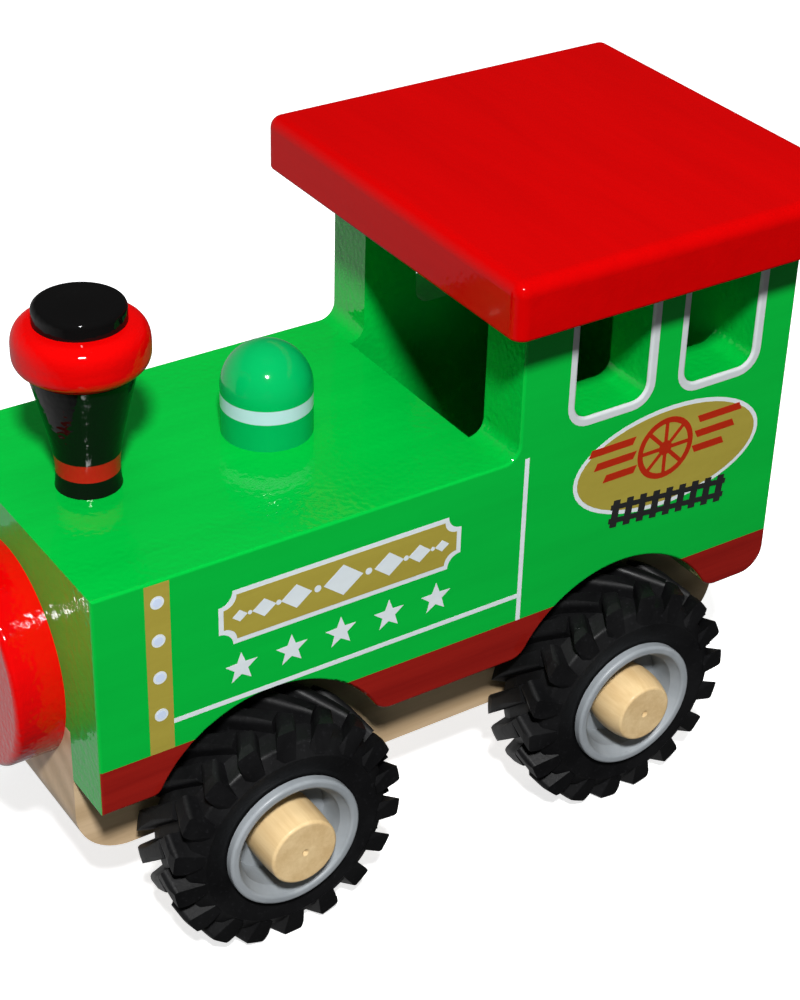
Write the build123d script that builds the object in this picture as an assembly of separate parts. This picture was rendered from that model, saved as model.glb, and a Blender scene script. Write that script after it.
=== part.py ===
from build123d import *
import os
from math import cos, degrees, radians, sin, tan

# Wooden toy steam locomotive, millimetres.
# +X is forward (chimney end), +Y the locomotive's left side, +Z up.
# Z = 0 is the floor under the tyres, X = Y = 0 the middle of the whole toy.

# ---- driving dimensions -------------------------------------------------
BODY_W = 60.0            # across the outside of the two side panels
PANEL_T = 10.8           # side panel thickness
TYRE_R = 22.6            # over the lugs, also the height of the axles
BOILER_TOP = 79.1
PANEL_BOTTOM = 36.9
CHASSIS_BOTTOM = 19.1
SEAM_Z = 46.9            # glue line between boiler block and chassis block, also the cab floor
PANEL_L = 138.7          # side panel, front to rear
CAB_SETBACK = 79.8       # boiler front to cab front
BLOCK_SETBACK = 76.8     # boiler front to the rear end of the boiler block
CHASSIS_L = 136.5
CHASSIS_CORNER_R = 10.0
BACK_BOARD_SETBACK = 130.5
BACK_BOARD_T = 8.0

ROOF_UNDERSIDE = 107.9
ROOF_T = 10.3
ROOF_W = 78.4
ROOF_FRONT_SETBACK = 70.9
ROOF_REAR_SETBACK = 146.5
ROOF_TOP_R = 2.4
ROOF_CORNER_R = 2.4
ROOF_BOTTOM_R = 0.7

DISC_R = 19.2
DISC_T = 8.5
DISC_EDGE_R = 1.2
DISC_DROP = 26.8         # boiler top to the disc's centre
TURNED_Y = -1.0          # disc, chimney and dome stand this far off the middle

ARCH_R = 23.6
ARCH_DROP = 52.4         # boiler top to the arch centre
ARCH_LIP_R = 4.0
PANEL_REAR_R = 5.0
PILLAR_FILLET_R = 3.1
PANEL_EDGE_R = 0.5

WINDOW_W = 15.6
WINDOW_H = 22.6
WINDOW_SILL = 83.4
WINDOW_R = 3.0
WINDOW_1_SETBACK = 98.75  # boiler front to each window's centre
WINDOW_2_SETBACK = 122.45

FRONT_AXLE_SETBACK = 31.7
REAR_AXLE_SETBACK = 104.0
ROD_R = 2.5
ROD_HALF_L = 37.5
RUNNING_GAP = 0.08       # rod in the chassis, radial
FIT_GAP = 0.03           # glued and pressed fits, radial
CAP_R = 6.55
CAP_OUTER_Y = 40.55
CAP_INNER_Y = 31.35
CAP_BORE_END_Y = 37.6
CAP_ENDS = {"front": (6.45, 6.25), "rear": (6.0, 5.5)}    # radius at the web, at the tip
CAP_ROUND_R = 0.6
DIMPLE_R = 0.7
DIMPLE_DEPTH = 0.5

WHEEL_INNER_Y = 21.3     # inner sidewall of the tyre
TYRE_W = 15.2
CARCASS_R = 20.1
CROWN_W = 5.0            # tread is flat this far in from each sidewall
SHOULDER_R = 19.2
SHOULDER_W = 1.5
SHOULDER_ROUND_R = 1.0
SIDEWALL_R = 16.7        # where the tyre is widest
BEAD_R = 13.6
BEAD_W = 0.4
SEAT_R = 11.2
SEAT_W = 1.0
LUG_COUNT = 18           # in each of the two rows
LUG_T = 3.3
LUG_FOOT_R = 17.0
LUG_EDGE_R = 1.1
LUG_TIP_R = 22.3
LUG_TIP_W = 1.1          # in from the sidewall
LUG_CROWN_W = 2.6
OUTER_LUG = (9.6, 15.2, 28.0)    # start and end across the tread, lean in degrees
INNER_LUG = (9.7, 0.0, 42.0)
LUG_PHASE = {"front": 2.9, "rear": 14.8}

RIM_R = 12.55
HUB_INNER_W = -0.7       # hub positions along the axle, from the tyre's inner wall
HUB_OUTER_W = 16.45
HUB_BACK_W = -0.4
FLANGE_LOW_W = 0.3
FLANGE_TOP_W = 14.8
HUB_WALL = 1.6
BOSS_R = 5.2
WEB_OUTER_W = 10.0
WEB_T = 2.5
WEB_R = 9.2
LIP_R = 11.0             # inner edge of the rounded lip
LIP_STEP = 0.5
LEDGE_OUTER_R = 10.8
LEDGE_INNER_R = 9.8
LEDGE_INNER_DEPTH = 2.0
RIM_EDGE_R = 0.6

CHIMNEY_SETBACK = 15.1
CHIMNEY_FOOT_R = 5.6
CHIMNEY_WAIST = (5.35, 3.4)      # radius, height above the boiler
CHIMNEY_STEM = (6.6, 11.7)
CHIMNEY_THROAT = (8.15, 18.2)
CHIMNEY_COLLAR = (8.9, 21.5)     # where the stem meets the ring's underside
CHIMNEY_RING_R = 11.2
CHIMNEY_RING_LOW_Z = 22.3
CHIMNEY_RING_LOW_R = 9.8
CHIMNEY_RING_SIDE_Z = (24.9, 26.2)
CHIMNEY_CAP_R = 7.65
CHIMNEY_CAP_Z = 30.1
CHIMNEY_CAP_SIDE_Z = 32.3
CHIMNEY_CAP_EDGE_R = 1.0
CHIMNEY_H = 33.7
DOME_SETBACK = 48.8
DOME_R = 8.0
DOME_H = 16.6

PEG_R = 3.0              # glued dowels in the boiler
PEG_DEPTH = 9.0
DISC_PEG_R = 4.0
DISC_PEG_RISE = 9.0
DISC_PEG_IN_DISC = 4.0
DISC_PEG_IN_BLOCK = 14.0
SMALL_PEG_R = 2.0
ROOF_PEG_UP = 6.0
ROOF_PEG_DOWN = 9.0
ROOF_PEG_FRONT_SETBACK = 85.3
SMALL_PEG_REAR_SETBACK = 134.5
CROSS_PEG_BLIND = 7.0
UPPER_PEGS = ((30.0, 14.0), (64.0, 14.0))    # setback, drop below the boiler top
LOWER_PEGS = ((67.2, 36.5), (131.0, 36.5))
BACK_PEGS = ((134.5, 2.0), (134.5, 20.0))

# ---- values worked out from them ---------------------------------------
FRONT_X = (ROOF_REAR_SETBACK - DISC_T) / 2
HALF_W = BODY_W / 2
INNER_Y = HALF_W - PANEL_T
DISC_Z = BOILER_TOP - DISC_DROP
ARCH_Z = BOILER_TOP - ARCH_DROP
WHEEL_X = (FRONT_X - FRONT_AXLE_SETBACK, FRONT_X - REAR_AXLE_SETBACK)


def at(setback):
    """X of a place that many millimetres behind the boiler's front face."""
    return FRONT_X - setback


def pin(radius, start, direction, length):
    """A plain round rod from start along direction."""
    end_plane = Plane(origin=start, z_dir=direction)
    return extrude(end_plane * Circle(radius), amount=length)


def slab(x_low, x_high, y_low, y_high, z_low, z_high):
    size = (x_high - x_low, y_high - y_low, z_high - z_low)
    centre = ((x_low + x_high) / 2, (y_low + y_high) / 2, (z_low + z_high) / 2)
    return Pos(*centre) * Box(*size)


def rect(x_low, x_high, z_low, z_high):
    centre = ((x_low + x_high) / 2, (z_low + z_high) / 2)
    return Pos(*centre) * Rectangle(x_high - x_low, z_high - z_low)


def nearest(shape, x, y):
    return sorted(shape.vertices(), key=lambda v: (v.X - x) ** 2 + (v.Y - y) ** 2)[0]


def round_corner(sketch, x, y, radius):
    return fillet(nearest(sketch, x, y), radius)


def window(setback):
    centre = (at(setback), WINDOW_SILL + WINDOW_H / 2)
    return Pos(*centre) * RectangleRounded(WINDOW_W, WINDOW_H, WINDOW_R)


def panel_outline():
    """Side view of a side panel, drawn in X and Z."""
    boiler = rect(at(PANEL_L), at(0), PANEL_BOTTOM, BOILER_TOP)
    cab = rect(at(PANEL_L), at(CAB_SETBACK), PANEL_BOTTOM, ROOF_UNDERSIDE)
    shape = boiler + cab
    for wheel_x in WHEEL_X:
        shape -= Pos(wheel_x, ARCH_Z) * Circle(ARCH_R)
    shape = round_corner(shape, at(CAB_SETBACK), BOILER_TOP, PILLAR_FILLET_R)
    shape = round_corner(shape, at(PANEL_L), PANEL_BOTTOM, PANEL_REAR_R)
    half = (ARCH_R ** 2 - (ARCH_Z - PANEL_BOTTOM) ** 2) ** 0.5
    for corner_x in (WHEEL_X[0] - half, WHEEL_X[1] + half, WHEEL_X[1] - half):
        shape = round_corner(shape, corner_x, PANEL_BOTTOM, ARCH_LIP_R)
    shape = round_corner(shape, WHEEL_X[0] + half, PANEL_BOTTOM, ARCH_LIP_R / 2)
    shape -= window(WINDOW_1_SETBACK)
    shape -= window(WINDOW_2_SETBACK)
    return shape


def left_panel():
    # Plane.XZ faces -Y, so the outline is drawn on the outer face and grows inwards
    outer = Plane(origin=(0, HALF_W, 0), x_dir=(1, 0, 0), z_dir=(0, -1, 0))
    body = extrude(outer * panel_outline(), amount=PANEL_T)
    rim = body.faces().sort_by(Axis.Y)[-1].edges()
    body = fillet(rim, PANEL_EDGE_R)
    for setback in (ROOF_PEG_FRONT_SETBACK, SMALL_PEG_REAR_SETBACK):
        foot = (at(setback), HALF_W - PANEL_T / 2, ROOF_UNDERSIDE - ROOF_PEG_DOWN)
        body -= pin(SMALL_PEG_R + FIT_GAP, foot, (0, 0, 1), ROOF_PEG_DOWN + PANEL_T)
    for peg in cross_pegs(UPPER_PEGS + LOWER_PEGS, PEG_R, FIT_GAP):
        body -= peg
    for peg in cross_pegs(BACK_PEGS, SMALL_PEG_R, FIT_GAP):
        body -= peg
    return body


def cross_pegs(places, radius, gap=0.0):
    """Dowels across the body, blind in both side panels."""
    half_l = INNER_Y + CROSS_PEG_BLIND + gap
    pegs = []
    for setback, drop in places:
        start = (at(setback), -half_l, BOILER_TOP - drop)
        pegs.append(pin(radius + gap, start, (0, 1, 0), 2 * half_l))
    return pegs


def top_peg(setback, radius):
    foot = (at(setback), TURNED_Y, BOILER_TOP - PEG_DEPTH)
    return pin(radius, foot, (0, 0, 1), 2 * PEG_DEPTH)


def disc_peg(radius, extra):
    start = (at(DISC_PEG_IN_BLOCK + extra), TURNED_Y, DISC_Z + DISC_PEG_RISE)
    length = DISC_PEG_IN_BLOCK + DISC_PEG_IN_DISC + 2 * extra
    return pin(radius, start, (1, 0, 0), length)


def boiler_block():
    block = slab(at(BLOCK_SETBACK), at(0), -INNER_Y, INNER_Y, SEAM_Z, BOILER_TOP)
    for peg in cross_pegs(UPPER_PEGS, PEG_R, FIT_GAP):
        block -= peg
    block -= top_peg(CHIMNEY_SETBACK, PEG_R + FIT_GAP)
    block -= top_peg(DOME_SETBACK, PEG_R + FIT_GAP)
    return block - disc_peg(DISC_PEG_R + FIT_GAP, FIT_GAP)


def chassis_block():
    side = rect(at(CHASSIS_L), at(0), CHASSIS_BOTTOM, SEAM_Z)
    side = round_corner(side, at(0), CHASSIS_BOTTOM, CHASSIS_CORNER_R)
    side = round_corner(side, at(CHASSIS_L), CHASSIS_BOTTOM, CHASSIS_CORNER_R)
    face = Plane(origin=(0, INNER_Y, 0), x_dir=(1, 0, 0), z_dir=(0, -1, 0))
    block = extrude(face * side, amount=2 * INNER_Y)
    for wheel_x in WHEEL_X:
        start = (wheel_x, -HALF_W, TYRE_R)
        block -= pin(ROD_R + RUNNING_GAP, start, (0, 1, 0), BODY_W)
    for peg in cross_pegs(LOWER_PEGS, PEG_R, FIT_GAP):
        block -= peg
    return block


def cab_back_board():
    rear = BACK_BOARD_SETBACK + BACK_BOARD_T
    board = slab(at(rear), at(BACK_BOARD_SETBACK), -INNER_Y, INNER_Y, SEAM_Z, ROOF_UNDERSIDE)
    for peg in cross_pegs(BACK_PEGS, SMALL_PEG_R, FIT_GAP):
        board -= peg
    return board


def roof():
    board = slab(
        at(ROOF_REAR_SETBACK), at(ROOF_FRONT_SETBACK),
        -ROOF_W / 2, ROOF_W / 2,
        ROOF_UNDERSIDE, ROOF_UNDERSIDE + ROOF_T,
    )
    board = fillet(board.edges().filter_by(Axis.Z), ROOF_CORNER_R)
    board = fillet(board.faces().sort_by(Axis.Z)[-1].edges(), ROOF_TOP_R)
    board = fillet(board.faces().sort_by(Axis.Z)[0].edges(), ROOF_BOTTOM_R)
    for peg in roof_pegs(FIT_GAP):
        board -= peg
    return board


def roof_pegs(gap):
    pegs = []
    for side in (-1, 1):
        for setback in (ROOF_PEG_FRONT_SETBACK, SMALL_PEG_REAR_SETBACK):
            y = side * (HALF_W - PANEL_T / 2)
            foot = (at(setback), y, ROOF_UNDERSIDE - ROOF_PEG_DOWN)
            height = ROOF_PEG_DOWN + ROOF_PEG_UP + gap
            pegs.append(pin(SMALL_PEG_R + gap, foot, (0, 0, 1), height))
    return pegs


def smokebox_disc():
    disc = pin(DISC_R, (at(0), TURNED_Y, DISC_Z), (1, 0, 0), DISC_T)
    disc = fillet(disc.faces().sort_by(Axis.X)[-1].edges(), DISC_EDGE_R)
    return disc - disc_peg(DISC_PEG_R + FIT_GAP, FIT_GAP)


def chimney():
    """Turned chimney: flared stem, overhanging ring and crowned cap."""
    foot = (CHIMNEY_FOOT_R, 0)
    ring_under = (CHIMNEY_RING_LOW_R, CHIMNEY_RING_LOW_Z)
    ring_low = (CHIMNEY_RING_R, CHIMNEY_RING_SIDE_Z[0])
    ring_high = (CHIMNEY_RING_R, CHIMNEY_RING_SIDE_Z[1])
    cap_low = (CHIMNEY_CAP_R, CHIMNEY_CAP_Z)
    cap_high = (CHIMNEY_CAP_R, CHIMNEY_CAP_SIDE_Z)
    crown_edge = (CHIMNEY_CAP_R - CHIMNEY_CAP_EDGE_R, CHIMNEY_CAP_SIDE_Z + CHIMNEY_CAP_EDGE_R)
    peak = (0, CHIMNEY_H)
    up, inwards = (0, 1), (-1, 0)
    stem = Spline(foot, CHIMNEY_WAIST, CHIMNEY_STEM, CHIMNEY_THROAT, CHIMNEY_COLLAR)
    underside = Line(CHIMNEY_COLLAR, ring_under)
    lower_edge = Spline(ring_under, ring_low, tangents=((1, 0.55), up))
    shoulder = Spline(ring_high, cap_low, tangents=(up, inwards))
    cap_edge = RadiusArc(cap_high, crown_edge, -CHIMNEY_CAP_EDGE_R)
    crown = Spline(crown_edge, peak, tangents=(inwards, inwards))
    outline = make_face(Line((0, 0), foot) + stem + underside + lower_edge
                        + Line(ring_low, ring_high) + shoulder + Line(cap_low, cap_high)
                        + cap_edge + crown + Line(peak, (0, 0)))
    turned = revolve(Plane.XZ * outline, Axis.Z)
    turned = Pos(at(CHIMNEY_SETBACK), TURNED_Y, BOILER_TOP) * turned
    return turned - top_peg(CHIMNEY_SETBACK, PEG_R + FIT_GAP)


def steam_dome():
    side_h = DOME_H - DOME_R
    side = Polyline((0, 0), (DOME_R, 0), (DOME_R, side_h))
    crown_mid = (DOME_R * sin(radians(45)), side_h + DOME_R * cos(radians(45)))
    crown = ThreePointArc((DOME_R, side_h), crown_mid, (0, DOME_H))
    outline = make_face(side + crown + Line((0, DOME_H), (0, 0)))
    turned = revolve(Plane.XZ * outline, Axis.Z)
    turned = Pos(at(DOME_SETBACK), TURNED_Y, BOILER_TOP) * turned
    return turned - top_peg(DOME_SETBACK, PEG_R + FIT_GAP)


# ---- wheels: drawn about the Z axis, w = 0 at the tyre's inner wall ------
def spun(points, rounded=(), radius=RIM_EDGE_R):
    """Solid of revolution from (radius, w) points, with some corners rounded."""
    sketch = make_face(Polyline(*points, close=True))
    for corner in rounded:
        sketch = round_corner(sketch, corner[0], corner[1], radius)
    return revolve(Plane.XZ * sketch, Axis.Z)


def both_walls(half_profile):
    """A tyre section: the points of its inner half, and the same mirrored outside."""
    mirrored = [(radius, TYRE_W - w) for radius, w in reversed(half_profile)]
    return list(half_profile) + mirrored


def sidewall():
    bore = SEAT_R + FIT_GAP
    return [(bore, SEAT_W), (BEAD_R, BEAD_W), (SIDEWALL_R, 0.0)]


def tyre_envelope():
    """Everything inside the swept outline over the lugs."""
    tread = [(LUG_TIP_R, LUG_TIP_W), (TYRE_R, LUG_CROWN_W)]
    return spun(both_walls(sidewall() + tread))


def tyre_carcass():
    shoulder = (SHOULDER_R, SHOULDER_W)
    points = both_walls(sidewall() + [shoulder, (CARCASS_R, CROWN_W)])
    shoulders = [shoulder, (SHOULDER_R, TYRE_W - SHOULDER_W)]
    return spun(points, shoulders, SHOULDER_ROUND_R)


def lug(row, tip_angle):
    """One slanted tread bar, from the middle of the tread down over a shoulder."""
    start_w, end_w, lean = row
    side = 1 if end_w > start_w else -1
    span = abs(end_w - start_w)
    height = TYRE_R - LUG_FOOT_R
    bar = Box(height, LUG_T, span / cos(radians(lean)))
    bar = fillet(bar.edges().filter_by(Axis.Z).sort_by(Axis.X)[-2:], LUG_EDGE_R)
    drift = degrees(tan(radians(lean)) * span / 2 / TYRE_R)
    centre = Pos(TYRE_R - height / 2, 0, (start_w + end_w) / 2)
    return Rot(0, 0, tip_angle - drift) * centre * Rot(-side * lean, 0, 0) * bar


def tyre(phase):
    bars = []
    for number in range(LUG_COUNT):
        tip_angle = phase + number * 360 / LUG_COUNT
        bars.append(lug(OUTER_LUG, tip_angle))
        bars.append(lug(INNER_LUG, tip_angle))
    body = tyre_carcass().fuse(*bars)
    trimmed = body & tyre_envelope()
    return trimmed.solids().sort_by(SortBy.VOLUME)[-1]


def hub():
    """Pressed-on plastic rim: two flanges, a deep dish outside and a boss inside."""
    web_low = WEB_OUTER_W - WEB_T
    barrel_r = SEAT_R - HUB_WALL
    bore = ROD_R + FIT_GAP
    points = [
        (bore, HUB_INNER_W), (BOSS_R, HUB_INNER_W), (BOSS_R, web_low), (barrel_r, web_low),
        (barrel_r, HUB_BACK_W), (RIM_R, HUB_BACK_W), (RIM_R, FLANGE_LOW_W),
        (SEAT_R, FLANGE_LOW_W), (SEAT_R, FLANGE_TOP_W), (RIM_R, FLANGE_TOP_W),
        (RIM_R, HUB_OUTER_W), (LIP_R, HUB_OUTER_W), (LEDGE_OUTER_R, HUB_OUTER_W - LIP_STEP),
        (LEDGE_INNER_R, HUB_OUTER_W - LEDGE_INNER_DEPTH), (WEB_R, WEB_OUTER_W),
        (bore, WEB_OUTER_W),
    ]
    rounded = [(RIM_R, HUB_OUTER_W), (LIP_R, HUB_OUTER_W)]
    return spun(points, rounded, RIM_EDGE_R)


def axle_cap(web_r, tip_r):
    """Turned wooden cap with barrel sides, drawn with w measured as in the wheel."""
    low = CAP_INNER_Y - WHEEL_INNER_Y
    top = CAP_OUTER_Y - WHEEL_INNER_Y
    bore_end = CAP_BORE_END_Y - WHEEL_INNER_Y
    bore = ROD_R + FIT_GAP
    inside = Polyline((0, top - DIMPLE_DEPTH), (0, bore_end), (bore, bore_end), (bore, low),
                      (web_r, low))
    barrel = ThreePointArc((web_r, low), (CAP_R, (low + top) / 2), (tip_r, top))
    tip = Polyline((tip_r, top), (DIMPLE_R, top), (0, top - DIMPLE_DEPTH))
    sketch = make_face(inside + barrel + tip)
    sketch = round_corner(sketch, tip_r, top, CAP_ROUND_R)
    return revolve(Plane.XZ * sketch, Axis.Z)


def on_axle(shape, wheel_x, side):
    """Carry a wheel piece to its place: side is +1 for left, -1 for right."""
    plane = Plane(
        origin=(wheel_x, side * WHEEL_INNER_Y, TYRE_R),
        x_dir=(0, 0, -1),
        z_dir=(0, side, 0),
    )
    return plane.location * shape


def axle_rod(wheel_x):
    rod = pin(ROD_R, (wheel_x, -ROD_HALF_L, TYRE_R), (0, 1, 0), 2 * ROD_HALF_L)
    return chamfer(rod.edges().filter_by(GeomType.CIRCLE), ROD_R / 10)


def save(name, shape):
    export_step(shape, os.path.join("parts", name + ".step"))


def main():
    os.makedirs("parts", exist_ok=True)
    left = left_panel()
    save("left_side_panel", left)
    save("right_side_panel", mirror(left, Plane.XZ))
    save("boiler_block", boiler_block())
    save("chassis_block", chassis_block())
    save("roof", roof())
    save("roof_dowels", Compound(roof_pegs(0)))
    save("boiler_cross_dowels", Compound(cross_pegs(UPPER_PEGS, PEG_R)))
    save("chassis_cross_dowels", Compound(cross_pegs(LOWER_PEGS, PEG_R)))
    save("cab_back_board", cab_back_board())
    save("cab_back_dowels", Compound(cross_pegs(BACK_PEGS, SMALL_PEG_R)))
    save("smokebox_disc", smokebox_disc())
    save("smokebox_dowel", disc_peg(DISC_PEG_R, 0))
    save("chimney", chimney())
    save("chimney_dowel", top_peg(CHIMNEY_SETBACK, PEG_R))
    save("steam_dome", steam_dome())
    save("dome_dowel", top_peg(DOME_SETBACK, PEG_R))
    rim = hub()
    for end, wheel_x in zip(("front", "rear"), WHEEL_X):
        rubber = tyre(LUG_PHASE[end])
        cap = axle_cap(*CAP_ENDS[end])
        save(end + "_axle_rod", axle_rod(wheel_x))
        for hand, side in (("left", 1), ("right", -1)):
            save(f"{end}_{hand}_tyre", on_axle(rubber, wheel_x, side))
            save(f"{end}_{hand}_wheel_hub", on_axle(rim, wheel_x, side))
            save(f"{end}_{hand}_axle_cap", on_axle(cap, wheel_x, side))


main()
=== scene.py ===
import bmesh
import bpy
from math import cos, pi, radians, sin
from mathutils import Matrix, Vector


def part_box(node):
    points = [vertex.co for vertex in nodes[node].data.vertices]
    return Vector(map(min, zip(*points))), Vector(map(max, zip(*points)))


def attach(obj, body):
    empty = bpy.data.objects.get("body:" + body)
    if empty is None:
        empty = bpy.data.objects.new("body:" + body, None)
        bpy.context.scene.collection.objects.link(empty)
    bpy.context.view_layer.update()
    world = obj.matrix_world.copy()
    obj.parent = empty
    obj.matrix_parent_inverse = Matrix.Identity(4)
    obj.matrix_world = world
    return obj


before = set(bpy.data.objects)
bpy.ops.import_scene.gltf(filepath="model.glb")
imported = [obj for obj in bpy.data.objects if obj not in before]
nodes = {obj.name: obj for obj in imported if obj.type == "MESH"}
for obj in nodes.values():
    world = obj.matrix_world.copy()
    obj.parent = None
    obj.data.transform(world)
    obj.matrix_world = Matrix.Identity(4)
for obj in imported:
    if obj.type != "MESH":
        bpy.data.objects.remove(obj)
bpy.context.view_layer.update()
MM = 0.001

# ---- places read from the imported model, in metres ------------------------
SIDE_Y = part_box("left_side_panel")[1][1]
FRONT_X, _, TOP_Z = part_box("boiler_block")[1]
STRIPE_DOWN = 33.4       # boiler top to the dark red strip, millimetres
STRIPE_Z = TOP_Z - STRIPE_DOWN * MM

# ---- camera -------------------------------------------------------------
CAMERA_AZIMUTH, CAMERA_ELEVATION, CAMERA_ROLL = 146.16, 31.92, 1.65    # degrees
CAMERA_LENS = 81.07                               # millimetres
CAMERA_SHIFT = (-0.0014, -0.0336)                 # of the picture's longer side
CAMERA_AWAY = (0.1159, 0.2563, 0.1988)            # metres from the body's front top left corner


def direction(azimuth, elevation):
    """Unit vector from the toy towards a viewer, who is on the -Y side at azimuth 0."""
    az, el = radians(azimuth), radians(elevation)
    return Vector((sin(az) * cos(el), -cos(az) * cos(el), sin(el)))


def place_camera():
    """The view of the left side, from the front and above."""
    back = direction(CAMERA_AZIMUTH, CAMERA_ELEVATION)
    az, roll = radians(CAMERA_AZIMUTH), radians(CAMERA_ROLL)
    right = Vector((cos(az), sin(az), 0.0))
    up = back.cross(right)
    turned_right = right * cos(roll) + up * sin(roll)
    turned_up = up * cos(roll) - right * sin(roll)
    data = bpy.data.cameras.new("camera")
    data.lens = CAMERA_LENS
    data.shift_x, data.shift_y = CAMERA_SHIFT
    data.clip_start = 0.01
    camera = bpy.data.objects.new("camera", data)
    bpy.context.scene.collection.objects.link(camera)
    corner = (FRONT_X, SIDE_Y, TOP_Z)
    spot = Vector([start + away for start, away in zip(corner, CAMERA_AWAY)])
    axes = Matrix((turned_right, turned_up, back)).transposed()
    camera.matrix_world = Matrix.Translation(spot) @ axes.to_4x4()
    bpy.context.scene.camera = camera


place_camera()

# ---- node material helpers ----------------------------------------------
NOISE_RANGE = (0.3, 0.7)      # most of a noise node's values lie here


class Mat:
    """One node material, with short calls for the nodes it needs."""

    def __init__(self, name):
        self.material = bpy.data.materials.new(name)
        self.material.use_nodes = True
        self.tree = self.material.node_tree
        self.shader = self.tree.nodes["Principled BSDF"]
        self.coords = self.tree.nodes.new("ShaderNodeTexCoord").outputs["Object"]

    def set(self, **values):
        """Give shader inputs a value, their names written with _ for a space."""
        for key, value in values.items():
            self.shader.inputs[key.replace("_", " ")].default_value = value

    def link(self, a, b):
        self.tree.links.new(a, b)

    def math(self, kind, a, b=0.0):
        """A sum, product or the like of two values, each a number or a node's output."""
        node = self.tree.nodes.new("ShaderNodeMath")
        node.operation = kind
        for socket, value in zip(node.inputs, (a, b)):
            if isinstance(value, (int, float)):
                socket.default_value = value
            else:
                self.link(value, socket)
        return node.outputs[0]

    def axis(self, which):
        """One coordinate in metres."""
        node = self.tree.nodes.new("ShaderNodeSeparateXYZ")
        self.link(self.coords, node.inputs[0])
        return node.outputs["XYZ".index(which)]

    def stretched(self, scale, rotate=(0, 0, 0)):
        """Coordinates scaled along each axis and turned."""
        node = self.tree.nodes.new("ShaderNodeMapping")
        node.inputs["Scale"].default_value = scale
        node.inputs["Rotation"].default_value = rotate
        self.link(self.coords, node.inputs["Vector"])
        return node.outputs[0]

    def noise(self, vector, scale, detail, rough, distort=0.0):
        node = self.tree.nodes.new("ShaderNodeTexNoise")
        node.inputs["Scale"].default_value = scale
        node.inputs["Detail"].default_value = detail
        node.inputs["Roughness"].default_value = rough
        node.inputs["Distortion"].default_value = distort
        self.link(vector, node.inputs["Vector"])
        return node.outputs["Fac"]

    def ramp(self, factor, stops):
        """A colour that follows factor, through stops of (place, colour)."""
        node = self.tree.nodes.new("ShaderNodeValToRGB")
        elements = node.color_ramp.elements
        while len(elements) < len(stops):
            elements.new(0.5)
        for element, (place, colour) in zip(elements, stops):
            element.position = place
            element.color = (*colour, 1.0)
        self.link(factor, node.inputs["Fac"])
        return node.outputs["Color"]

    def mix(self, factor, a, b):
        """Colour a where factor is 0, b where it is 1."""
        node = self.tree.nodes.new("ShaderNodeMix")
        node.data_type = "RGBA"
        self.link(factor, node.inputs[0])
        # of a Mix node, inputs 6 and 7 are the two colours and output 2 is the mixed one
        for socket, value in ((node.inputs[6], a), (node.inputs[7], b)):
            if isinstance(value, tuple):
                socket.default_value = (*value, 1.0)
            else:
                self.link(value, socket)
        return node.outputs[2]

    def colour(self, output):
        self.link(output, self.shader.inputs["Base Color"])

    def rough(self, factor, low, high):
        """Roughness that wanders between two values."""
        node = self.tree.nodes.new("ShaderNodeMapRange")
        node.inputs["From Min"].default_value, node.inputs["From Max"].default_value = NOISE_RANGE
        node.inputs["To Min"].default_value = low
        node.inputs["To Max"].default_value = high
        self.link(factor, node.inputs["Value"])
        self.link(node.outputs[0], self.shader.inputs["Roughness"])

    def normal(self, output):
        self.link(output, self.shader.inputs["Normal"])

    def above(self, value, level, soft=0.04 * MM):
        """0 below level, 1 above it, with a hair-thin blend."""
        node = self.tree.nodes.new("ShaderNodeMapRange")
        node.inputs["From Min"].default_value = level - soft
        node.inputs["From Max"].default_value = level + soft
        self.link(value, node.inputs["Value"])
        return node.outputs[0]

    def bump(self, height, depth, below=None):
        """Relief of that many metres, over an earlier one if given."""
        node = self.tree.nodes.new("ShaderNodeBump")
        node.inputs["Distance"].default_value = depth
        self.link(height, node.inputs["Height"])
        if below is not None:
            self.link(below, node.inputs["Normal"])
        return node.outputs[0]


# ---- colours, linear: each one and the deeper tone of its streaks ---------
GREEN = (0.0004, 0.440, 0.041)
GREEN_DEEP = (0.0003, 0.395, 0.037)
RED = (0.520, 0.0004, 0.0006)
RED_DEEP = (0.460, 0.0003, 0.0005)
DISC_RED = (0.620, 0.0006, 0.0008)
DISC_RED_DEEP = (0.560, 0.0004, 0.0006)
STRIPE_RED = (0.270, 0.010, 0.006)
STRIPE_RED_DEEP = (0.205, 0.006, 0.004)
BLACK = (0.0035, 0.0034, 0.0034)
BLACK_DEEP = (0.0022, 0.0022, 0.0022)
WHITE = (0.66, 0.72, 0.74)
WHITE_DEEP = (0.60, 0.66, 0.69)
GREY_WHITE = (0.56, 0.60, 0.61)
GREY_WHITE_DEEP = (0.50, 0.54, 0.55)
DOME_GREEN = (0.0006, 0.365, 0.090)
DOME_GREEN_DEEP = (0.0005, 0.330, 0.080)
GOLD = (0.365, 0.305, 0.050)
GOLD_DEEP = (0.320, 0.262, 0.040)
BAND_RED = (0.40, 0.010, 0.006)
RING_RED = (0.60, 0.001, 0.001)
BAND_WHITE = (0.44, 0.60, 0.66)
PALE_BLUE, PALE_BLUE_DEEP = (0.58, 0.67, 0.84), (0.52, 0.61, 0.78)
PRINT_RED, PRINT_RED_DEEP = (0.42, 0.022, 0.006), (0.36, 0.018, 0.005)
PRINT_DARK, PRINT_DARK_DEEP = (0.022, 0.022, 0.023), (0.015, 0.015, 0.016)
CHASSIS_WOOD, CHASSIS_WOOD_DEEP = (0.65, 0.48, 0.30), (0.46, 0.32, 0.18)
DOWEL_WOOD, DOWEL_WOOD_DEEP = (0.72, 0.55, 0.34), (0.55, 0.39, 0.22)
CAP_WOOD, CAP_WOOD_DEEP = (0.76, 0.57, 0.31), (0.62, 0.43, 0.21)
RUBBER_BLACK, RUBBER_BLACK_DEEP = (0.0062, 0.0063, 0.0068), (0.0030, 0.0030, 0.0034)
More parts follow.
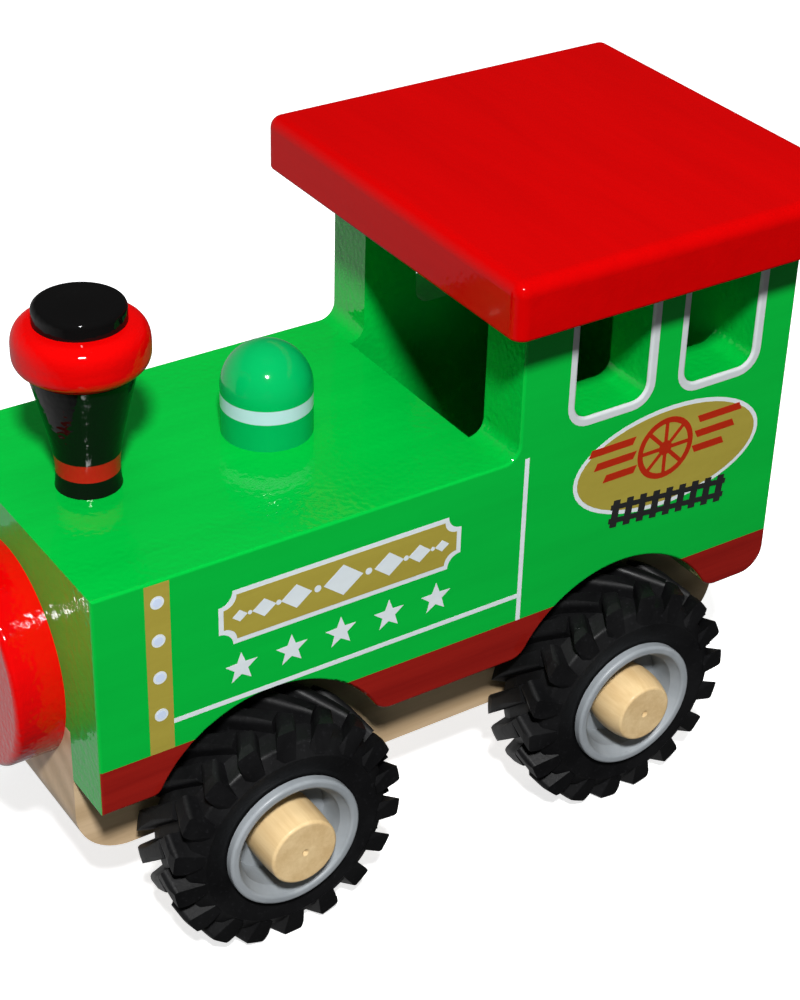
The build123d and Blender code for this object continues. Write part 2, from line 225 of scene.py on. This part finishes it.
RUBBER_DUST = (0.016, 0.016, 0.018)
PLASTIC_GREY, PLASTIC_GREY_DEEP = (0.305, 0.330, 0.350), (0.235, 0.258, 0.276)
STEEL_GREY, STEEL_GREY_DEEP = (0.62, 0.62, 0.63), (0.42, 0.42, 0.43)

# ---- paints ---------------------------------------------------------------
OUTER_FACE_Y = SIDE_Y - 0.3 * MM      # what lies further out is a panel's outer face
PAINT_EDGE = 0.05 * MM                # blend where one paint gives way to another
BRUSH_DEPTH = 0.010 * MM
# noise is drawn out along an axis whose scale is small
BRUSHED_X, BRUSHED_Y, TURNED = (0.12, 1.0, 1.0), (1.0, 0.12, 1.0), (1.0, 1.0, 0.35)
STRIPE_GRAIN, DISC_GRAIN = (0.05, 1.0, 1.0), (0.5, 1.0, 1.0)


def paint(name, colour, deep, grain=BRUSHED_X, peel=0.03, coat=0.4, coat_rough=0.08,
          flat_y=None):
    """Gloss paint brushed on wood: faint streaks along the grain, and orange peel that
    is peel millimetres deep and fades out further than flat_y from the middle plane.
    Returns the Mat and its colour, not yet linked."""
    mat = Mat(name)
    along = mat.stretched(grain)
    patches = mat.noise(along, scale=26.0, detail=4.0, rough=0.6, distort=0.4)
    streaks = mat.noise(along, scale=190.0, detail=5.0, rough=0.65)
    pebbles = mat.noise(mat.coords, scale=950.0, detail=0.5, rough=0.5)
    tone = mat.ramp(mat.math("MULTIPLY", mat.math("ADD", patches, streaks), 0.5),
                    ((0.36, deep), (0.62, colour)))
    mat.rough(streaks, low=0.36, high=0.52)
    mat.set(IOR=1.46, Coat_Weight=coat, Coat_Roughness=coat_rough, Specular_IOR_Level=0.0)
    if flat_y is not None:
        outward = mat.above(mat.math("ABSOLUTE", mat.axis("Y")), flat_y, PAINT_EDGE)
        pebbles = mat.math("MULTIPLY", pebbles, mat.math("SUBTRACT", 1.0, outward))
    relief = mat.bump(pebbles, peel * MM, mat.bump(streaks, BRUSH_DEPTH))
    mat.normal(relief)
    mat.link(relief, mat.shader.inputs["Coat Normal"])
    return mat, tone


def plain_paint(name, colour, deep, **settings):
    """One paint all over."""
    mat, tone = paint(name, colour, deep, **settings)
    mat.colour(tone)
    return mat.material


def side_paint():
    """Green panel with the dark red strip along the bottom of its outer face."""
    mat, tone = paint("paint_side_panels", GREEN, GREEN_DEEP, peel=0.10, flat_y=OUTER_FACE_Y,
                      coat=0.8, coat_rough=0.06)
    outward = mat.math("ABSOLUTE", mat.axis("Y"))
    on_face = mat.above(outward, OUTER_FACE_Y, PAINT_EDGE)
    low = mat.math("SUBTRACT", 1.0, mat.above(mat.axis("Z"), STRIPE_Z))
    strip = mat.math("MULTIPLY", on_face, low)
    grain = mat.noise(mat.stretched(STRIPE_GRAIN), scale=260.0, detail=5.0, rough=0.7)
    red = mat.ramp(grain, ((0.34, STRIPE_RED_DEEP), (0.66, STRIPE_RED)))
    mat.colour(mat.mix(strip, tone, red))
    return mat.material


def banded_paint(name, first, bands, **settings):
    """Turned piece painted in rings: first is its colour and that colour's deep tone,
    bands are (height above the boiler in mm, colour)."""
    mat, colour = paint(name, *first, grain=TURNED, **settings)
    height = mat.axis("Z")
    for level, band_colour in bands:
        colour = mat.mix(mat.above(height, TOP_Z + level * MM), colour, band_colour)
    mat.colour(colour)
    return mat.material


# ---- bare materials -------------------------------------------------------
RING_TILT = (0.12, 0.06, 0.04)        # growth rings lean this much, in radians
RING_SHIFT = (0.0, 0.021, 0.034)      # and their middle lies this far off, in metres
SQUEEZE = 0.05                        # scale of the noise along the grain
FIBRE_SHARE, WIDE_SHARE = 0.42, 0.34  # of the fine and the broad figure in the colour
GRAIN_DEPTH, GRIT_DEPTH, SCUFF_DEPTH, FINE_DEPTH = 0.030 * MM, 0.035 * MM, 0.10 * MM, 0.006 * MM


def wood(name, along, light, dark, rings=0.22):
    """Clear lacquered wood with its grain along one axis."""
    mat = Mat(name)
    squeeze = tuple(SQUEEZE if axis == along else 1.0 for axis in "XYZ")
    fibre = mat.noise(mat.stretched(squeeze), scale=700.0, detail=6.0, rough=0.7, distort=0.2)
    wide = mat.noise(mat.stretched(squeeze), scale=75.0, detail=4.0, rough=0.55, distort=1.0)
    wave = mat.tree.nodes.new("ShaderNodeTexWave")
    wave.wave_type = "RINGS"
    wave.rings_direction = along
    wave.inputs["Scale"].default_value = 55.0
    wave.inputs["Distortion"].default_value = 5.0
    wave.inputs["Detail"].default_value = 3.0
    wave.inputs["Detail Scale"].default_value = 0.6
    turned = mat.stretched(squeeze, RING_TILT)
    shifted = mat.tree.nodes.new("ShaderNodeVectorMath")
    shifted.operation = "ADD"
    shifted.inputs[1].default_value = RING_SHIFT
    mat.link(turned, shifted.inputs[0])
    mat.link(shifted.outputs[0], wave.inputs["Vector"])
    figure = mat.math("ADD", mat.math("MULTIPLY", fibre, FIBRE_SHARE),
                      mat.math("MULTIPLY", wide, WIDE_SHARE))
    figure = mat.math("ADD", figure, mat.math("MULTIPLY", wave.outputs["Fac"], rings))
    mat.colour(mat.ramp(figure, ((0.32, dark), (0.44 + 1.1 * rings, light))))
    mat.rough(fibre, low=0.42, high=0.58)
    mat.set(IOR=1.45, Coat_Weight=0.12, Coat_Roughness=0.2, Specular_IOR_Level=0.3)
    mat.normal(mat.bump(fibre, GRAIN_DEPTH))
    return mat.material


def rubber():
    """Matt black rubber with dust in its grit and paler scuffs."""
    mat = Mat("tyre_rubber")
    cloud = mat.noise(mat.coords, scale=95.0, detail=5.0, rough=0.62)
    grit = mat.noise(mat.coords, scale=1500.0, detail=4.0, rough=0.65)
    dust = mat.ramp(grit, ((0.60, (0.0, 0.0, 0.0)), (0.74, (1.0, 1.0, 1.0))))
    base = mat.ramp(cloud, ((0.34, RUBBER_BLACK_DEEP), (0.70, RUBBER_BLACK)))
    mat.colour(mat.mix(dust, base, RUBBER_DUST))
    mat.rough(cloud, low=0.40, high=0.60)
    mat.set(IOR=1.50, Specular_IOR_Level=0.20)
    mat.normal(mat.bump(grit, GRIT_DEPTH, mat.bump(cloud, SCUFF_DEPTH)))
    return mat.material


def plastic():
    """Satin grey moulded plastic."""
    mat = Mat("hub_grey_plastic")
    cloud = mat.noise(mat.coords, scale=140.0, detail=4.0, rough=0.6)
    fine = mat.noise(mat.coords, scale=1700.0, detail=2.0, rough=0.5)
    mat.colour(mat.ramp(cloud, ((0.32, PLASTIC_GREY_DEEP), (0.68, PLASTIC_GREY))))
    mat.rough(cloud, low=0.34, high=0.46)
    mat.set(IOR=1.46)
    mat.normal(mat.bump(fine, FINE_DEPTH))
    return mat.material


def steel():
    """Drawn steel rod with fine lines along it."""
    mat = Mat("axle_rod_steel")
    lines = mat.noise(mat.stretched((1.0, 0.02, 1.0)), scale=900.0, detail=3.0, rough=0.6)
    mat.colour(mat.ramp(lines, ((0.3, STEEL_GREY_DEEP), (0.7, STEEL_GREY))))
    mat.rough(lines, low=0.28, high=0.42)
    mat.set(Metallic=1.0)
    mat.normal(mat.bump(lines, FINE_DEPTH))
    return mat.material


def dress(name, material):
    """Give a CAD node its material."""
    for slot in nodes[name].material_slots:
        slot.material = material


side_material = side_paint()
dress("left_side_panel", side_material)
dress("right_side_panel", side_material)
boiler_paint = plain_paint("paint_boiler", GREEN, GREEN_DEEP, peel=0.06, coat=0.7, coat_rough=0.09)
dress("boiler_block", boiler_paint)
dress("cab_back_board", boiler_paint)
dress("roof", plain_paint("paint_roof", RED, RED_DEEP, grain=BRUSHED_Y, coat=0.25))
dress("smokebox_disc", plain_paint("paint_smokebox", DISC_RED, DISC_RED_DEEP,
                                   grain=DISC_GRAIN, peel=0.10, coat=0.9, coat_rough=0.06))
chimney_bands = ((3.0, BAND_RED), (6.3, BLACK), (21.9, RING_RED), (30.2, BLACK))
dress("chimney", banded_paint("paint_chimney", (BLACK, BLACK_DEEP), chimney_bands,
                              coat_rough=0.05, peel=0.06))
dome_bands = ((5.2, BAND_WHITE), (7.8, DOME_GREEN))
dress("steam_dome", banded_paint("paint_dome", (DOME_GREEN, DOME_GREEN_DEEP), dome_bands,
                                 coat=0.8, peel=0.02))
dress("chassis_block", wood("wood_chassis", "X", CHASSIS_WOOD, CHASSIS_WOOD_DEEP))
dowel = wood("wood_dowels", "Z", DOWEL_WOOD, DOWEL_WOOD_DEEP)
for name in ("roof_dowels", "boiler_cross_dowels", "chassis_cross_dowels", "cab_back_dowels",
             "smokebox_dowel", "chimney_dowel", "dome_dowel"):
    dress(name, dowel)
cap_wood = wood("wood_axle_caps", "Y", CAP_WOOD, CAP_WOOD_DEEP, rings=0.06)
tyre_material, hub_material, rod_material = rubber(), plastic(), steel()
for end in ("front", "rear"):
    dress(end + "_axle_rod", rod_material)
    for hand in ("left", "right"):
        dress(f"{end}_{hand}_tyre", tyre_material)
        dress(f"{end}_{hand}_wheel_hub", hub_material)
        dress(f"{end}_{hand}_axle_cap", cap_wood)

# ---- painted decoration ---------------------------------------------------
# Places on a panel are (back, down): millimetres behind the boiler's front face and
# below its top, and above it where down is negative. A bar or plate is its first corner
# and its last. Other sizes are in millimetres too: L long, H high, R radius, T thick.
SKIN = 0.03 * MM         # thickness of one coat of paint
GOLD_BAND = (9.0, 0.5, 13.4, STRIPE_DOWN)
DOT_BACK, DOT_DOWNS, DOT_RING_R, DOT_R = 11.2, (4.0, 11.3, 18.5, 25.9), 1.2, 0.8
WHITE_LINE = (13.4, 27.6, 81.0, 28.5)
CAB_LINE = (81.0, 0.0, 81.9, STRIPE_DOWN)
STAR_COUNT, STAR_BACK, STAR_PITCH, STAR_DOWN, STAR_R = 5, 25.9, 9.45, 22.2, 3.1
PLATE, PLATE_NOTCH = (21.9, 6.6, 68.4, 17.0), 2.6
INNER_PLATE, INNER_NOTCH = (22.8, 7.5, 67.5, 16.1), 2.4
PLATE_MIDDLE = (45.15, 11.8)
MIDDLE_LOZENGE = (3.8, 3.0)      # half its length, half its height
LOZENGES = ((8.9, 2.9), (14.9, 2.2), (19.4, 1.4))             # away from the middle, half length
LOZENGE_SHAPE = 0.8              # height over length
ORNAMENT_DOTS = ((4.9, 0.65), (12.25, 0.5), (17.55, 0.4))     # away from the middle, radius
OVAL_MIDDLE, OVAL_HALF_L, OVAL_HALF_H, OVAL_LINE = (112.5, 9.15), 20.8, 10.3, 0.85
EMBLEM_WHEEL, EMBLEM_R, EMBLEM_RIM = (111.8, 7.3), 6.2, 1.15
HUB_SHARE, SPOKE_SHARE = 0.24, 0.7      # hub over wheel, spoke over rim
WINGS_TOP, WINGS_GAP, WING_LENGTHS = (111.8, 3.6), 7.2, (9.6, 8.6, 6.8)
WING_T, WING_PITCH, WING_STEP = 1.5, 3.0, 0.35
TRACK_MIDDLE, TRACK_L, TRACK_LEAN = (113.6, 19.0), 26.5, 0.10
RAIL_OFFSET, RAIL_T = 1.4, 1.0
SLEEPER_COUNT, SLEEPER_T, SLEEPER_L, SLEEPER_END = 9, 1.5, 5.6, 1.2
WINDOW_L, WINDOW_H, WINDOW_R, WINDOW_DOWN = 15.6, 22.6, 3.0, -15.6
WINDOW_BACKS = (98.75, 122.45)
BORDER_EDGE = 0.5        # rounding of the opening's edge, which the border follows
BORDER_REACH = 1.55      # how far out from the opening the border goes
BORDER_SINK, BORDER_TUCK = 0.10, 0.15    # its depth in the face, in the opening's side


def new_piece(name, vertices, faces, material):
    """A mesh object that rides on the body with the side panels."""
    mesh = bpy.data.meshes.new(name)
    mesh.from_pydata(vertices, [], faces)
    shape = bmesh.new()
    shape.from_mesh(mesh)
    bmesh.ops.recalc_face_normals(shape, faces=shape.faces)
    shape.to_mesh(mesh)
    shape.free()
    piece = bpy.data.objects.new(name, mesh)
    bpy.context.scene.collection.objects.link(piece)
    piece.data.materials.append(material)
    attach(piece, "frame")


def place(side, back, down, out):
    """A point on a side panel: back from the boiler's front and down from its top in
    millimetres, out from the panel's face in metres."""
    return (FRONT_X - back * MM, side * (SIDE_Y + out), TOP_Z - down * MM)


def decal(name, side, outlines, material, coat=1):
    """Closed plates, one for each outline, that start inside the panel's face and stand
    out of it by that many coats of paint."""
    vertices, faces = [], []
    for outline in outlines:
        count = len(outline)
        first = len(vertices)
        for out in (coat * SKIN, -SKIN):
            vertices += [place(side, back, down, out) for back, down in outline]
        faces.append([first + i for i in range(count)])
        faces.append([first + count + i for i in reversed(range(count))])
        for i in range(count):
            k = (i + 1) % count
            faces.append([first + k, first + i, first + count + i, first + count + k])
    new_piece(name, vertices, faces, material)


def bar(back_0, down_0, back_1, down_1):
    """An upright rectangle."""
    return [(back_0, down_0), (back_1, down_0), (back_1, down_1), (back_0, down_1)]


def ellipse(back, down, half_l, half_h, count=48):
    """An ellipse lying along the panel."""
    steps = [2 * pi * i / count for i in range(count)]
    return [(back + half_l * cos(t), down + half_h * sin(t)) for t in steps]


def disc(back, down, radius, count=32):
    """A round."""
    return ellipse(back, down, radius, radius, count)


def star(back, down, radius, points=5, inner=0.42):
    """A star with one point up."""
    shape = []
    for i in range(2 * points):
        reach = radius if i % 2 == 0 else radius * inner
        angle = pi * i / points - pi / 2
        shape.append((back + reach * cos(angle), down + reach * sin(angle)))
    return shape


def nameplate(back_0, down_0, back_1, down_1, notch, count=8):
    """Rectangle whose corners are cut away in quarter circles."""
    corners = ((back_0, down_0, 0), (back_1, down_0, 1), (back_1, down_1, 2), (back_0, down_1, 3))
    shape = []
    for back, down, quarter in corners:
        for i in range(count + 1):
            angle = pi / 2 * (quarter + 1 - i / count)
            shape.append((back + notch * cos(angle), down + notch * sin(angle)))
    return shape


def slanted_bar(middle, length, thick, lean, slip=0.0):
    """A bar turned by lean radians, its ends cut at a slope where slip isn't 0."""
    half_l, half_t = length / 2, thick / 2
    raw = [(-half_l + slip, -half_t), (half_l + slip, -half_t), (half_l - slip, half_t),
           (-half_l - slip, half_t)]
    return [(middle[0] + u * cos(lean) - v * sin(lean), middle[1] + u * sin(lean) + v * cos(lean))
            for u, v in raw]


def sector(back, down, inner, outer, start, sweep, count=10):
    """Part of a ring, from angle start over sweep."""
    angles = [start + sweep * i / count for i in range(count + 1)]
    far = [(back + outer * cos(a), down + outer * sin(a)) for a in angles]
    near = [(back + inner * cos(a), down + inner * sin(a)) for a in reversed(angles)]
    return far + near


def spoked_wheel(back, down, radius, rim, spokes=8):
    """A generic wheel: the rim in four parts, a hub and straight spokes between them."""
    hub_r = radius * HUB_SHARE
    length = radius - rim - hub_r
    shapes = [sector(back, down, radius - rim, radius, pi / 2 * i, pi / 2) for i in range(4)]
    shapes.append(disc(back, down, hub_r))
    for i in range(spokes):
        angle = 2 * pi * i / spokes
        middle = hub_r + length / 2
        spot = (back + middle * cos(angle), down + middle * sin(angle))
        shapes.append(slanted_bar(spot, length, rim * SPOKE_SHARE, angle))
    return shapes


def wings(back, down):
    """Bars on both sides of a middle, the longest at the top."""
    shapes = []
    for i, length in enumerate(WING_LENGTHS):
        for way in (-1, 1):
            away = WINGS_GAP + length / 2 - WING_STEP * i
            middle = (back + way * away, down + i * WING_PITCH)
            shapes.append(slanted_bar(middle, length, WING_T, 0.0, -WING_STEP * way))
    return shapes


def rails():
    """The two rails of the piece of track."""
    back, down = TRACK_MIDDLE
    shapes = []
    for offset in (-RAIL_OFFSET, RAIL_OFFSET):
        spot = (back - offset * sin(TRACK_LEAN), down + offset * cos(TRACK_LEAN))
        shapes.append(slanted_bar(spot, TRACK_L, RAIL_T, TRACK_LEAN))
    return shapes


def sleepers():
    """The sleepers across the piece of track, evenly spaced."""
    back, down = TRACK_MIDDLE
    shapes = []
    for i in range(SLEEPER_COUNT):
        along = (i / (SLEEPER_COUNT - 1) - 0.5) * (TRACK_L - 2 * SLEEPER_END)
        spot = (back + along * cos(TRACK_LEAN), down + along * sin(TRACK_LEAN))
        shapes.append(slanted_bar(spot, SLEEPER_T, SLEEPER_L, TRACK_LEAN))
    return shapes


def lozenge(back, down, half_l, half_h):
    """A diamond shape."""
    return [(back - half_l, down), (back, down - half_h), (back + half_l, down),
            (back, down + half_h)]


def plate_ornament(back, down):
    """A row of lozenges with dots between them, largest in the middle."""
    shapes = [lozenge(back, down, *MIDDLE_LOZENGE)]
    for way in (-1, 1):
        for away, half_l in LOZENGES:
            shapes.append(lozenge(back + way * away, down, half_l, half_l * LOZENGE_SHAPE))
        for away, radius in ORNAMENT_DOTS:
            shapes.append(disc(back + way * away, down, radius, 16))
    return shapes


def window_border(name, side, middle_back, material):
    """A painted line round a window: over the opening's rounded edge, then flat."""
    # the section: how far out from the hole's edge in mm, and out of the face in metres
    profile = []
    edge_steps = 4
    for i in range(edge_steps + 1):
        turn = pi / 2 * i / edge_steps
        reach = BORDER_EDGE * MM + SKIN
        profile.append((BORDER_EDGE - reach / MM * cos(turn),
                        reach * sin(turn) - BORDER_EDGE * MM))
    profile += [(BORDER_REACH, SKIN), (BORDER_REACH, -BORDER_SINK * MM),
                (BORDER_EDGE, -BORDER_SINK * MM), (BORDER_TUCK, -BORDER_EDGE * MM)]
    run_l, run_h = WINDOW_L / 2 - WINDOW_R, WINDOW_H / 2 - WINDOW_R
    steps = 7
    count = 4 * (steps + 1)
    vertices, faces = [], []
    for grow, out in profile:
        for quarter, (sign_l, sign_h) in enumerate(((1, 1), (-1, 1), (-1, -1), (1, -1))):
            for i in range(steps + 1):
                turn = pi / 2 * (quarter + i / steps)
                back = middle_back + sign_l * run_l + (WINDOW_R + grow) * cos(turn)
                down = sign_h * run_h + (WINDOW_R + grow) * sin(turn)
                vertices.append(place(side, back, down + WINDOW_DOWN, out))
    rows = len(profile)
    for row in range(rows):
        below = (row + 1) % rows
        for i in range(count):
            k = (i + 1) % count
            faces.append([row * count + i, row * count + k, below * count + k, below * count + i])
    new_piece(name, vertices, faces, material)


white_print = plain_paint("print_white", WHITE, WHITE_DEEP, coat=0.15)
border_print = plain_paint("print_window_border", GREY_WHITE, GREY_WHITE_DEEP, coat=0.0)
pale_print = plain_paint("print_pale_blue", PALE_BLUE, PALE_BLUE_DEEP)
gold_print = plain_paint("print_gold", GOLD, GOLD_DEEP)
red_print = plain_paint("print_red", PRINT_RED, PRINT_RED_DEEP)
dark_print = plain_paint("print_dark", PRINT_DARK, PRINT_DARK_DEEP)


def decorate(hand, side):
    """Everything painted on one side panel, in coats from the wood outwards."""
    decal(hand + "_gold_band", side, [bar(*GOLD_BAND)], gold_print)
    decal(hand + "_band_rings", side, [disc(DOT_BACK, down, DOT_RING_R) for down in DOT_DOWNS],
          white_print, coat=2)
    decal(hand + "_band_dots", side, [disc(DOT_BACK, down, DOT_R) for down in DOT_DOWNS],
          pale_print, coat=3)
    decal(hand + "_white_line", side, [bar(*WHITE_LINE)], white_print)
    decal(hand + "_cab_line", side, [bar(*CAB_LINE)], white_print)
    star_backs = [STAR_BACK + STAR_PITCH * i for i in range(STAR_COUNT)]
    decal(hand + "_stars", side, [star(back, STAR_DOWN, STAR_R) for back in star_backs],
          white_print)
    decal(hand + "_plate_border", side, [nameplate(*PLATE, PLATE_NOTCH)], white_print)
    decal(hand + "_plate", side, [nameplate(*INNER_PLATE, INNER_NOTCH)], gold_print, coat=2)
    decal(hand + "_plate_ornament", side, plate_ornament(*PLATE_MIDDLE), white_print, coat=3)
    decal(hand + "_oval_border", side, [ellipse(*OVAL_MIDDLE, OVAL_HALF_L, OVAL_HALF_H)], white_print)
    inner_half = (OVAL_HALF_L - OVAL_LINE, OVAL_HALF_H - OVAL_LINE)
    decal(hand + "_oval", side, [ellipse(*OVAL_MIDDLE, *inner_half)], gold_print, coat=2)
    decal(hand + "_oval_wheel", side, spoked_wheel(*EMBLEM_WHEEL, EMBLEM_R, EMBLEM_RIM),
          red_print, coat=3)
    decal(hand + "_oval_wings", side, wings(*WINGS_TOP), red_print, coat=3)
    decal(hand + "_oval_sleepers", side, sleepers(), dark_print, coat=4)
    decal(hand + "_oval_rails", side, rails(), dark_print, coat=5)
    for number, middle in enumerate(WINDOW_BACKS, 1):
        window_border(f"{hand}_window_border_{number}", side, middle, border_print)


decorate("left", 1)
decorate("right", -1)

# ---- floor, light and backdrop -------------------------------------------
FLOOR_HALF, FLOOR_DROP, FLOOR_GLOW = 3.0, 0.02 * MM, 0.74
ROOM_R, ROOM_GLOW = 2.9, 0.98
PURE_WHITE = (1.0, 1.0, 1.0, 1.0)
FLOOR_TONES = ((0.3, (0.78, 0.78, 0.78)), (0.7, (0.80, 0.80, 0.80)))
ROOM_TONES = ((0.3, (0.0, 0.0, 0.0)), (0.7, (0.01, 0.01, 0.01)))


def floor():
    """A pale floor a hair below the tyres, bright enough to leave only a faint shadow."""
    mesh = bpy.data.meshes.new("floor")
    corners = [(x * FLOOR_HALF, y * FLOOR_HALF, 0) for x, y in ((-1, -1), (1, -1), (1, 1), (-1, 1))]
    mesh.from_pydata(corners, [], [(0, 1, 2, 3)])
    plane = bpy.data.objects.new("floor", mesh)
    bpy.context.scene.collection.objects.link(plane)
    plane.location.z = -FLOOR_DROP
    mat = Mat("floor_white")
    cloud = mat.noise(mat.coords, scale=3.0, detail=2.0, rough=0.5)
    mat.colour(mat.ramp(cloud, FLOOR_TONES))
    mat.rough(cloud, low=0.7, high=0.8)
    mat.set(Specular_IOR_Level=0.0, Emission_Color=PURE_WHITE, Emission_Strength=FLOOR_GLOW)
    # the pale floor stays out of the gloss and doesn't fill the toy's shadows
    plane.visible_diffuse = False
    plane.visible_glossy = False
    plane.data.materials.append(mat.material)


def backdrop():
    """A wide pale room that only the camera sees, so that it changes no light."""
    mesh = bpy.data.meshes.new("backdrop")
    shape = bmesh.new()
    bmesh.ops.create_uvsphere(shape, u_segments=48, v_segments=24, radius=ROOM_R)
    shape.to_mesh(mesh)
    shape.free()
    room = bpy.data.objects.new("backdrop", mesh)
    bpy.context.scene.collection.objects.link(room)
    mat = Mat("backdrop_white")
    cloud = mat.noise(mat.coords, scale=1.0, detail=2.0, rough=0.5)
    mat.colour(mat.ramp(cloud, ROOM_TONES))
    mat.rough(cloud, low=0.8, high=0.9)
    mat.set(Specular_IOR_Level=0.0, Emission_Color=PURE_WHITE, Emission_Strength=ROOM_GLOW)
    for ray in ("diffuse", "glossy", "transmission", "volume_scatter", "shadow"):
        setattr(room, "visible_" + ray, False)
    room.data.materials.append(mat.material)


LIT_POINT = Vector((0, 0, 0.06))      # about the middle of the toy


def area_light(name, azimuth, elevation, distance, size, watts, gloss=True):
    """A round soft light aimed at the toy. Without gloss it fills and leaves no reflection."""
    data = bpy.data.lights.new(name, "AREA")
    data.energy = watts
    data.shape = "DISK"
    data.size = size
    lamp = bpy.data.objects.new(name, data)
    lamp.visible_glossy = gloss
    bpy.context.scene.collection.objects.link(lamp)
    back = direction(azimuth, elevation)
    lamp.location = LIT_POINT + back * distance
    lamp.rotation_euler = back.to_track_quat("Z", "Y").to_euler()


floor()
backdrop()
area_light("key", azimuth=151, elevation=48, distance=0.9, size=0.09, watts=11.2)
area_light("overhead", azimuth=151, elevation=88, distance=1.1, size=0.5, watts=1.6, gloss=False)
area_light("right_fill", azimuth=350, elevation=8, distance=1.2, size=0.8, watts=4.5, gloss=False)
area_light("low_front_fill", azimuth=150, elevation=4, distance=1.2, size=0.5, watts=1.2, gloss=False)
area_light("rear_fill", azimuth=285, elevation=18, distance=1.2, size=0.8, watts=3.0, gloss=False)


GLOW_TOWARDS = Vector((0.47, -0.70, -0.53))
GLOW_SPREAD = (0.30, 0.95)       # cosines of the angle from its middle: outer edge, full
GLOW_STRENGTH = (0.05, 0.70)     # outside the glow, in its middle


def studio_world():
    """Dim white light from all round, with a pale glow low on the toy's front right."""
    world = bpy.data.worlds.new("studio")
    world.use_nodes = True
    tree = world.node_tree
    coords = tree.nodes.new("ShaderNodeTexCoord")
    facing = tree.nodes.new("ShaderNodeVectorMath")
    facing.operation = "DOT_PRODUCT"
    facing.inputs[1].default_value = GLOW_TOWARDS.normalized()
    tree.links.new(coords.outputs["Generated"], facing.inputs[0])
    glow = tree.nodes.new("ShaderNodeMapRange")
    glow.inputs["From Min"].default_value, glow.inputs["From Max"].default_value = GLOW_SPREAD
    glow.inputs["To Min"].default_value, glow.inputs["To Max"].default_value = GLOW_STRENGTH
    tree.links.new(facing.outputs["Value"], glow.inputs["Value"])
    tree.links.new(glow.outputs[0], tree.nodes["Background"].inputs["Strength"])
    tree.nodes["Background"].inputs["Color"].default_value = PURE_WHITE
    bpy.context.scene.world = world


studio_world()
bpy.context.scene.view_settings.view_transform = "Standard"
